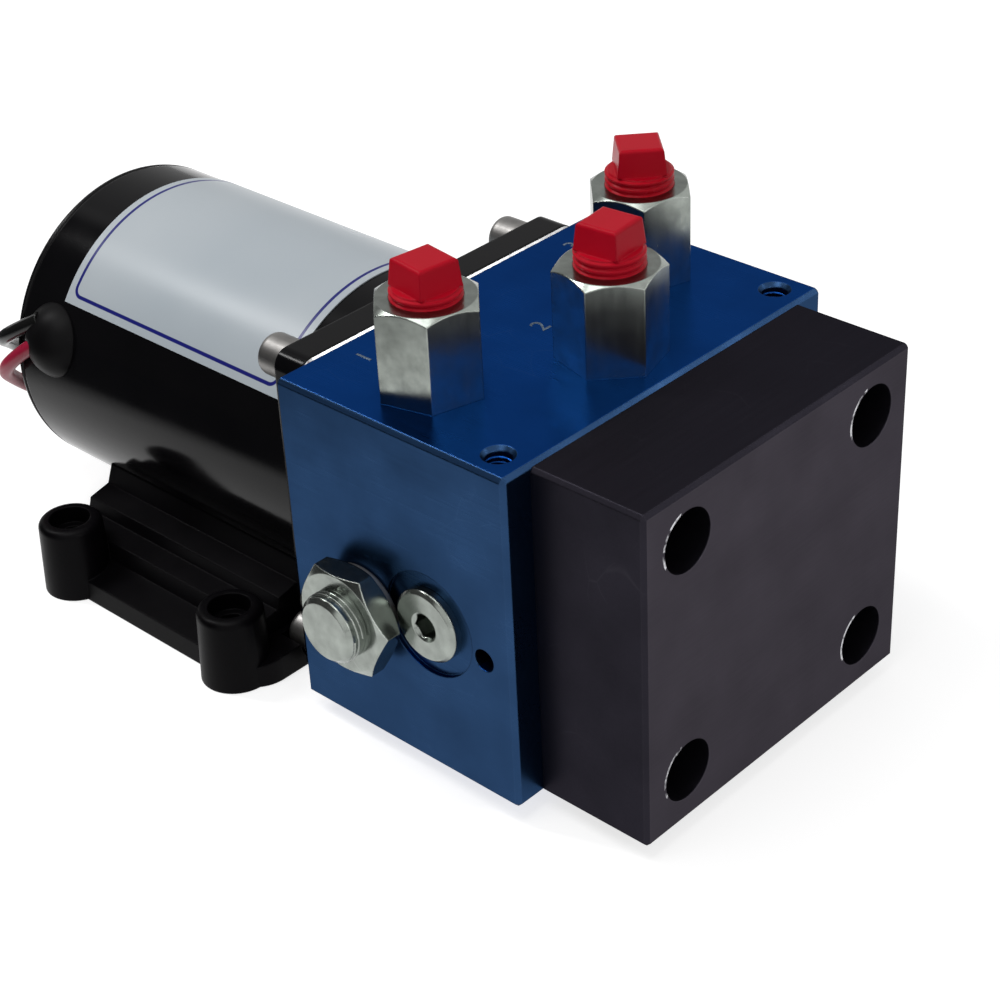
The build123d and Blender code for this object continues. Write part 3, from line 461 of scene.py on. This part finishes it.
# %% Shared effect: a printed border on a round can
MOTOR_AXIS_HEIGHT = 0.0385
CAN_RADIUS = 0.0355
PRINT_SHARPNESS = 12000.0
border_group, came, gave = new_group(
    "printed_border",
    [("Middle", "Float", 0.0), ("Half Length", "Float", 0.03), ("Half Arc", "Float", 0.03),
     ("Corner", "Float", 0.002), ("Half Line", "Float", 0.0004)],
    [("Line", "Float")])
spot = add(border_group, "ShaderNodeTexCoord")
split = add(border_group, "ShaderNodeSeparateXYZ", {0: spot.outputs["Object"]})
above_axis = maths(border_group, "SUBTRACT", split.outputs["Z"], MOTOR_AXIS_HEIGHT)
round_turn = maths(border_group, "ARCTAN2", split.outputs["Y"], above_axis)
arc = maths(border_group, "ABSOLUTE", maths(border_group, "MULTIPLY", round_turn, CAN_RADIUS))
from_middle = maths(border_group, "SUBTRACT", split.outputs["X"], came["Middle"])
length = maths(border_group, "ABSOLUTE", from_middle)
reach = []
for value, half in ((length, came["Half Length"]), (arc, came["Half Arc"])):
    reach.append(maths(border_group, "ADD", maths(border_group, "SUBTRACT", value, half), came["Corner"]))
past = [maths(border_group, "MAXIMUM", value, 0.0) for value in reach]
outside = add(border_group, "ShaderNodeCombineXYZ", {"X": past[0], "Y": past[1]})
far = add(border_group, "ShaderNodeVectorMath", {0: outside.outputs[0]}, operation="LENGTH").outputs["Value"]
near = maths(border_group, "MINIMUM", maths(border_group, "MAXIMUM", reach[0], reach[1]), 0.0)
distance = maths(border_group, "SUBTRACT", maths(border_group, "ADD", far, near), came["Corner"])
off_line = maths(border_group, "SUBTRACT", maths(border_group, "ABSOLUTE", distance), came["Half Line"])
sharp = maths(border_group, "MULTIPLY", off_line, PRINT_SHARPNESS)
soft = maths(border_group, "SUBTRACT", 0.5, sharp, True)
border_group.links.new(soft, gave["Line"])
print("group", border_group.name)

# %% Foil label
label_foil, tree, shader = finish("printed_foil", (0.46, 0.50, 0.52), 0.30, level=0.30)
cloud = use_group(tree, cloud_group, Scale=22.0, Contrast=1.8, Detail=2.0)["Patches"]
line = use_group(tree, border_group, Middle=-0.00735, Half_Length=0.0325, Half_Arc=0.0332, Corner=0.0020,
                 Half_Line=0.0004)["Line"]
foil = blend_colours(tree, cloud, (0.39, 0.44, 0.48), (0.47, 0.51, 0.54))
tree.links.new(blend_colours(tree, line, foil, (0.008, 0.010, 0.16)), shader.inputs["Base Color"])
tree.links.new(spread_values(tree, cloud, 0.26, 0.36), shader.inputs["Roughness"])
ripple = use_group(tree, cloud_group, Scale=120.0, Contrast=1.0, Detail=1.0)["Patches"]
relief(tree, shader, ripple, 0.15, 0.00004)
print("label", label_foil.name)

# %% [markdown]
# The base and the grommet are moulded rubber: near black, with a fine matt skin. A tight noise gives the
# skin its grain, and wider patches give the dusty bloom that rubber gathers. The red plugs are moulded
# too, from a soft plastic that lets a little light in, so one recipe serves both.

# %% Moulded rubber
RUBBED_SHARE = 0.35


def moulded(name, colour, bloom, rough, grain, depth, level=0.5):
    made, tree, shader = finish(name, colour, rough, level=level)
    cloud = use_group(tree, cloud_group, Scale=55.0, Contrast=2.0)["Patches"]
    skin = use_group(tree, cloud_group, Scale=grain, Contrast=1.6, Detail=3.0)["Patches"]
    edges = use_group(tree, edge_group, Radius=0.0005, Gain=1.5, Breakup=500.0)
    base = blend_colours(tree, cloud, colour, bloom)
    edge_mark = maths(tree, "MULTIPLY", edges["Wear"], RUBBED_SHARE)
    pale = tuple(min(1.0, 3 * value) for value in bloom)
    tree.links.new(blend_colours(tree, edge_mark, base, pale), shader.inputs["Base Color"])
    tree.links.new(spread_values(tree, cloud, rough - 0.05, rough + 0.08), shader.inputs["Roughness"])
    relief(tree, shader, skin, 0.4, depth, edges["Normal"])
    return made


base_rubber = moulded("base_rubber", (0.0014, 0.0012, 0.0016), (0.0030, 0.0026, 0.0034), 0.38, 900.0,
                      0.00003, level=0.05)
grommet_rubber = moulded("grommet_rubber", (0.0026, 0.0024, 0.0028), (0.0050, 0.0046, 0.0052), 0.42, 500.0,
                         0.00002, level=0.07)
seal_rubber = moulded("seal_rubber", (0.010, 0.010, 0.010), (0.014, 0.014, 0.014), 0.55, 1500.0, 0.00001)
red_plastic = moulded("red_plug_plastic", (0.40, 0.0020, 0.011), (0.48, 0.0035, 0.018), 0.30, 1400.0,
                      0.000008, level=0.08)
shader = red_plastic.node_tree.nodes["Principled BSDF"]
shader.inputs["Subsurface Weight"].default_value = 0.06
shader.inputs["Subsurface Scale"].default_value = 0.002
print("moulded finishes made")

# %% [markdown]
# Wire insulation is a soft, shiny plastic with a slightly dull handling film. The recipe for moulded rubber
# gives that too, with more shine, so the leads need no recipe of their own.

# %% Lead insulation
red_insulation = moulded("red_lead_insulation", (0.30, 0.004, 0.030), (0.40, 0.010, 0.050), 0.30, 700.0,
                         0.00002, level=0.35)
black_insulation = moulded("black_lead_insulation", (0.004, 0.004, 0.004), (0.007, 0.007, 0.007), 0.18, 700.0,
                           0.00001, level=0.3)
for wire, coat in ((red_wire, red_insulation), (black_wire, black_insulation)):
    wire.data.materials.append(coat)
print("insulation made")

# %% [markdown]
# Inside the motor and the block are pieces that no one sees until the part is taken apart. They still get
# a finish of their own: ground shafts, stacked steel, enamelled copper, carbon and hard resin.

# %% Finishes inside
ground_steel = machined("ground_shaft_steel", (0.55, 0.55, 0.56), (0.7, 0.7, 0.7), 0.20, 1.0,
                        (3500.0, 60.0, 60.0))
gear_steel = machined("hobbed_gear_steel", (0.42, 0.42, 0.43), (0.62, 0.62, 0.62), 0.26, 1.0,
                      (40.0, 2200.0, 2200.0))
spring_steel = machined("spring_steel_wire", (0.36, 0.36, 0.37), (0.5, 0.5, 0.5), 0.30, 1.0,
                        (900.0, 900.0, 900.0))
bronze = machined("sintered_bronze", (0.42, 0.25, 0.10), (0.55, 0.36, 0.18), 0.46, 1.0,
                  (700.0, 700.0, 700.0))
tinned = machined("tinned_copper", (0.66, 0.64, 0.60), (0.78, 0.76, 0.72), 0.30, 1.0,
                  (1200.0, 1200.0, 1200.0))
copper_bar = machined("commutator_copper", (0.62, 0.26, 0.12), (0.75, 0.40, 0.22), 0.25, 1.0,
                      (4500.0, 80.0, 80.0))
carbon = moulded("brush_carbon", (0.016, 0.016, 0.017), (0.028, 0.028, 0.030), 0.55, 2500.0, 0.00002)
ferrite = moulded("magnet_ferrite", (0.020, 0.019, 0.019), (0.034, 0.032, 0.031), 0.62, 1200.0, 0.00003)
phenolic = moulded("brown_resin_board", (0.075, 0.030, 0.014), (0.11, 0.048, 0.022), 0.40, 600.0, 0.00002)
print("inner finishes made")

# %% [markdown]
# The armature is a stack of thin steel sheets, and its slots are filled with enamelled wire. Both are
# fine stripes: across the shaft for the sheets, aslant for the wire. A wave texture draws stripes at a
# known spacing, here half a millimetre for a sheet and 0.7 for a wire. Its scale is in stripes, and 0.314
# makes them a metre apart.

# %% Stacked sheets and wound wire
SCALE_OF_ONE_METRE = 0.314


def striped(name, low, high, rough, direction, spacing):
    made, tree, shader = finish(name, high, rough, metal=1.0)
    spot = add(tree, "ShaderNodeTexCoord")
    wave = add(tree, "ShaderNodeTexWave", {"Vector": spot.outputs["Object"]}, bands_direction=direction,
               Scale=SCALE_OF_ONE_METRE / spacing, Distortion=0.4, Detail=1.0)
    stripes = wave.outputs["Fac"]
    tree.links.new(blend_colours(tree, stripes, low, high), shader.inputs["Base Color"])
    tree.links.new(spread_values(tree, stripes, rough + 0.12, rough - 0.05), shader.inputs["Roughness"])
    relief(tree, shader, stripes, 0.6, spacing * 0.2)
    return made


core_steel = striped("laminated_core_steel", (0.16, 0.16, 0.17), (0.40, 0.40, 0.41), 0.38, "X", 0.0005)
copper_winding = striped("enamelled_winding", (0.22, 0.055, 0.018), (0.62, 0.20, 0.07), 0.28, "DIAGONAL",
                         0.0007)
print("striped finishes made")

# %% [markdown]
# Every solid from CAD now takes its finish. A solid comes with one plain material slot, and the new
# material simply takes that slot over, so the shape isn't touched.

# %% Hand the finishes out
finish_of = {
    "manifold_block": blue_anodised, "end_cover": charcoal_anodised, "cover_screws": black_oxide,
    "motor_flange": flange_black_highlight, "motor_can": gloss_black, "rear_end_cap": gloss_black,
    "flange_screws": dull_steel, "motor_label": label_foil, "mounting_base": base_rubber,
    "lead_grommet": grommet_rubber, "cover_seal": seal_rubber, "shaft_seal": seal_rubber,
    "front_bushing": bronze, "rear_bushing": bronze, "armature_shaft": ground_steel,
    "armature_core": core_steel, "armature_windings": copper_winding, "commutator": copper_bar,
    "field_magnets": ferrite, "brush_plate": phenolic, "brushes": carbon, "brush_springs": spring_steel,
    "shaft_coupling": ground_steel, "pump_shaft": ground_steel, "drive_gear": gear_steel,
    "idler_gear": gear_steel, "idler_pin": ground_steel, "adjuster_stud": zinc_steel,
    "lock_nut": zinc_steel, "seal_washer": dull_steel,
    "gallery_plug": zinc_steel, "shuttle_plug": zinc_steel, "relief_poppet": gear_steel,
    "relief_spring": spring_steel, "shuttle_spool": ground_steel, "red_terminal": tinned,
    "black_terminal": tinned, "red_lead": red_insulation, "black_lead": black_insulation,
}
for number in (1, 2, 3):
    finish_of[f"port_fitting_{number}"] = zinc_steel
    finish_of[f"port_seal_{number}"] = seal_rubber
    finish_of[f"port_plug_{number}"] = red_plastic
for number in (1, 2):
    finish_of[f"check_seat_{number}"] = gear_steel
    finish_of[f"check_poppet_{number}"] = gear_steel
    finish_of[f"check_spring_{number}"] = spring_steel
for name, solid in nodes.items():
    solid.data.materials.clear()
    solid.data.materials.append(finish_of[name])
print("finishes given to", len(nodes), "solids; any without one:", sorted(set(nodes) - set(finish_of)))

# %% [markdown]
# The stud that sets the relief valve is threaded, and its last turns show outside the lock nut. The two
# holes on the block's top are tapped. A bump could fake a thread, but its outline shows. So one triangle
# is swept round the axis and along it at once, which the Screw modifier does, and both ends are closed.

# %% One thread
STEPS_IN_A_TURN = 48
SMOOTH_UP_TO = math.radians(40)


def swept_thread(name, axis, start, radius, pitch, size, turns, outward, coat):
    bpy.ops.object.select_all(action="DESELECT")
    flat_turn = (0.0, 0.0, 0.0) if axis == "Y" else (math.pi / 2, 0.0, 0.0)
    bpy.ops.mesh.primitive_circle_add(vertices=3, radius=size)
    made = bpy.context.object
    made.name = name
    made.rotation_euler = (0.0, 0.0, -math.pi / 2 if outward else math.pi / 2)
    bpy.ops.object.transform_apply(location=False, rotation=True, scale=True)
    made.rotation_euler = flat_turn
    made.location = start
    bpy.ops.object.transform_apply(location=False, rotation=True, scale=True)
    bpy.ops.object.mode_set(mode="EDIT")
    bpy.ops.mesh.select_all(action="SELECT")
    bpy.ops.transform.translate(value=(radius, 0.0, 0.0))
    bpy.ops.object.mode_set(mode="OBJECT")
    screw = made.modifiers.new("screw", "SCREW")
    screw.axis = axis
    screw.steps = STEPS_IN_A_TURN
    screw.render_steps = STEPS_IN_A_TURN
    screw.iterations = turns
    screw.screw_offset = pitch
    bpy.ops.object.modifier_apply(modifier=screw.name)
    bpy.ops.object.mode_set(mode="EDIT")
    bpy.ops.mesh.select_all(action="SELECT")
    bpy.ops.mesh.fill_holes(sides=3)
    bpy.ops.mesh.select_all(action="SELECT")
    bpy.ops.mesh.normals_make_consistent(inside=False)
    bpy.ops.object.mode_set(mode="OBJECT")
    bpy.ops.object.transform_apply(location=True)
    bpy.ops.object.shade_smooth_by_angle(angle=SMOOTH_UP_TO)
    made.data.materials.append(coat)
    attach(made, "housing")
    print(name, "has", turns, "turns and", len(made.data.polygons), "faces")


print("a turn is swept in", STEPS_IN_A_TURN, "steps")

# %% The stud's thread
THREAD_PITCH = 0.0010
THREAD_SIZE = 0.00040
THREAD_SUNK = 0.00008
STUD_BARE_END = 0.0013
stud_low, stud_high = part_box("adjuster_stud")
nut_low, nut_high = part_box("lock_nut")
stud_radius = (stud_high[0] - stud_low[0]) / 2
thread_start = stud_low[1] + STUD_BARE_END
stud_start = ((stud_low[0] + stud_high[0]) / 2, thread_start, (stud_low[2] + stud_high[2]) / 2)
stud_turns = int((nut_low[1] - thread_start) / THREAD_PITCH)
swept_thread("adjuster_thread", "Y", stud_start, stud_radius - THREAD_SUNK, THREAD_PITCH, THREAD_SIZE,
             stud_turns, True, zinc_steel)

# %% The threads in the two tapped holes
HOLE_RADIUS = 0.0025
HOLE_FROM_CORNER = (0.0067, 0.00625)
HOLE_TURNS = 7
MOUTH_DEPTH = 0.0014
block_low, block_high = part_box("manifold_block")
hole_x = block_high[0] - HOLE_FROM_CORNER[0]
near_y = block_low[1] + HOLE_FROM_CORNER[1]
far_y = block_high[1] - HOLE_FROM_CORNER[1]
for name, hole_y in (("near", near_y), ("far", far_y)):
    foot = (hole_x, hole_y, block_high[2] - MOUTH_DEPTH - HOLE_TURNS * THREAD_PITCH)
    swept_thread(f"{name}_hole_thread", "Z", foot, HOLE_RADIUS + THREAD_SUNK, THREAD_PITCH, THREAD_SIZE,
                 HOLE_TURNS, False, blue_anodised)

# %% [markdown]
# Each port has a small number stamped behind it, so that the hoses go on in the right order. A stamp
# breaks the blue skin down to bare metal. The digit starts as text, becomes a mesh, and is laid flat on
# the block with its foot towards the cover.

# %% Stamped port numbers
stamped_metal = machined("stamped_bare_metal", (0.20, 0.30, 0.42), (0.5, 0.55, 0.6), 0.35, 1.0,
                         (600.0, 600.0, 600.0), patches=900.0, change=0.25)
STAMP_HEIGHT = 0.0040
DIGIT_PER_SIZE = 0.7
STAMP_PROUD = 0.00003
STAMP_BACK = 0.0180
for number in (1, 2, 3):
    low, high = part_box(f"port_fitting_{number}")
    bpy.ops.object.select_all(action="DESELECT")
    bpy.ops.object.text_add(location=(0.0, 0.0, 0.0))
    stamp = bpy.context.object
    stamp.name = f"port_number_{number}"
    stamp.data.body = str(number)
    stamp.data.size = STAMP_HEIGHT / DIGIT_PER_SIZE
    stamp.data.extrude = STAMP_PROUD
    stamp.data.align_x = "CENTER"
    stamp.data.align_y = "CENTER"
    bpy.ops.object.convert(target="MESH")
    stamp = bpy.context.object
    stamp.location = ((low[0] + high[0]) / 2 - STAMP_BACK, (low[1] + high[1]) / 2, block_high[2])
    stamp.rotation_euler = (0.0, 0.0, math.pi / 2)
    bpy.ops.object.transform_apply(location=True, rotation=True, scale=True)
    stamp.data.materials.clear()
    stamp.data.materials.append(stamped_metal)
    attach(stamp, "housing")
    print(stamp.name, "at", [round(v * 1000, 1) for v in stamp.data.vertices[0].co])

# %% [markdown]
# The part stands on a plain pale floor. Its paleness comes from the floor's own colour and a little glow
# that only the camera and mirrors see, so that no extra light falls on the part and its shadow stays.
# Dark gloss shows mostly what stands round it. Past a hand's width on the near left, the floor is painted
# dark for mirrors only, a painted reflection that keeps the can's side dark, while the camera still sees
# paper there. Glass sees what the camera does, so its rays count as seen too.

# %% Floor
DARK_REFLECTION_FROM = 0.115
EDGE_SOFTNESS = 0.05
PAPER_GLOW = 0.72
DARK_REFLECTION_GLOW = 0.06


def seen_mask(tree):
    ray = add(tree, "ShaderNodeLightPath")
    in_glass = maths(tree, "MAXIMUM", ray.outputs["Is Glossy Ray"], ray.outputs["Is Transmission Ray"])
    return maths(tree, "MAXIMUM", ray.outputs["Is Camera Ray"], in_glass), ray.outputs["Is Glossy Ray"]


bpy.ops.object.select_all(action="DESELECT")
bpy.ops.mesh.primitive_plane_add(size=8.0, location=(0.0, 0.0, -0.0002))
floor = bpy.context.object
floor.name = "studio_floor"
floor_paper = bpy.data.materials.new("floor_paper")
floor_paper.use_nodes = True
tree = floor_paper.node_tree
tree.nodes.clear()
seen, by_mirrors = seen_mask(tree)
paper = add(tree, "ShaderNodeBsdfDiffuse", Color=(0.50, 0.50, 0.50, 1.0))
glow = add(tree, "ShaderNodeEmission", {"Strength": maths(tree, "MULTIPLY", seen, PAPER_GLOW)},
           Color=(1.0, 1.0, 1.0, 1.0))
both = add(tree, "ShaderNodeAddShader", {0: paper.outputs[0], 1: glow.outputs[0]})
spot = add(tree, "ShaderNodeTexCoord")
to_near_left = add(tree, "ShaderNodeVectorMath", {0: spot.outputs["Object"]}, operation="DOT_PRODUCT")
to_near_left.inputs[1].default_value = (-0.707, -0.707, 0.0)
into_dark_reflection = tree.nodes.new("ShaderNodeMapRange")
into_dark_reflection.inputs["From Min"].default_value = DARK_REFLECTION_FROM
into_dark_reflection.inputs["From Max"].default_value = DARK_REFLECTION_FROM + EDGE_SOFTNESS
tree.links.new(to_near_left.outputs["Value"], into_dark_reflection.inputs[0])
# Painted reflection: mirrors see the floor dark past this line, the camera does not.
in_mirror = maths(tree, "MULTIPLY", into_dark_reflection.outputs[0], by_mirrors)
painted_dark_reflection = add(tree, "ShaderNodeEmission", Color=(0.9, 0.95, 1.0, 1.0), Strength=DARK_REFLECTION_GLOW)
shown = add(tree, "ShaderNodeMixShader", {0: in_mirror, 1: both.outputs[0], 2: painted_dark_reflection.outputs[0]})
add(tree, "ShaderNodeOutputMaterial", {"Surface": shown.outputs[0]})
floor.data.materials.append(floor_paper)
print("floor laid")

# %% [markdown]
# The world behind is white to the camera, and a softer grey as a light. A studio puts dark screens round
# gloss, so that black and blue keep their depth. Here the world itself is darker in two directions, and
# only for mirrors: grey behind on the left, which the tops mirror, and near black low on the near left,
# which the can's side mirrors. Real screens would do it too, but they'd stand in the way of other views.

# %% World
LIGHT_SHARE = 0.35


def towards(tree, direction, aim, soft_from, soft_to, inside):
    near = add(tree, "ShaderNodeVectorMath", {0: direction}, operation="DOT_PRODUCT")
    near.inputs[1].default_value = Vector(aim).normalized()
    made = tree.nodes.new("ShaderNodeMapRange")
    made.interpolation_type = "SMOOTHSTEP"
    tree.links.new(near.outputs["Value"], made.inputs[0])
    made.inputs["From Min"].default_value = soft_from
    made.inputs["From Max"].default_value = soft_to
    made.inputs["To Min"].default_value = 1.0
    made.inputs["To Max"].default_value = inside
    return made.outputs[0]


world = bpy.data.worlds.new("studio")
bpy.context.scene.world = world
world.use_nodes = True
tree = world.node_tree
tree.nodes.clear()
seen, by_mirrors = seen_mask(tree)
level = maths(tree, "ADD", maths(tree, "MULTIPLY", seen, 1.0 - LIGHT_SHARE), LIGHT_SHARE)
direction = add(tree, "ShaderNodeTexCoord").outputs["Generated"]
behind = towards(tree, direction, (-0.72, 0.58, 0.50), 0.80, 0.90, 0.48)
near_left = towards(tree, direction, (-0.66, -0.66, 0.25), 0.62, 0.74, 0.07)
screens = maths(tree, "MULTIPLY", behind, near_left)
kept_dark = maths(tree, "MULTIPLY", maths(tree, "SUBTRACT", 1.0, screens), by_mirrors)
strength = maths(tree, "MULTIPLY", level, maths(tree, "SUBTRACT", 1.0, kept_dark))
sky = add(tree, "ShaderNodeBackground", {"Strength": strength}, Color=(1.0, 1.0, 1.0, 1.0))
add(tree, "ShaderNodeOutputWorld", {"Surface": sky.outputs[0]})
print("world", world.name)

# %% [markdown]
# Soft lamps shape the part: a long one behind on the left, which draws a streak along the can, one above
# for the tops, a weak one from the right for the cover, and a small one behind for the far edges.

# %% Lamps


def soft_lamp(name, place, aim, size, watts):
    data = bpy.data.lights.new(name, "AREA")
    data.shape = "RECTANGLE"
    data.size, data.size_y = size
    data.energy = watts
    made = bpy.data.objects.new(name, data)
    made.location = place
    made.rotation_euler = (Vector(aim) - Vector(place)).to_track_quat("-Z", "Y").to_euler()
    bpy.context.scene.collection.objects.link(made)


soft_lamp("streak_lamp", (-0.55, -0.24, 0.85), (0.0, 0.0, 0.05), (0.10, 0.45), 3.6)
soft_lamp("top_lamp", (0.05, -0.30, 0.95), (0.0, 0.0, 0.04), (0.50, 0.50), 2.65)
soft_lamp("front_lamp", (1.00, -0.10, 0.45), (0.1, 0.0, 0.04), (0.40, 0.40), 1.5)
soft_lamp("edge_lamp", (0.50, 0.56, 0.60), (0.05, 0.0, 0.07), (0.10, 0.30), 0.3)
bpy.context.scene.view_settings.view_transform = "Standard"
print("lamps set")
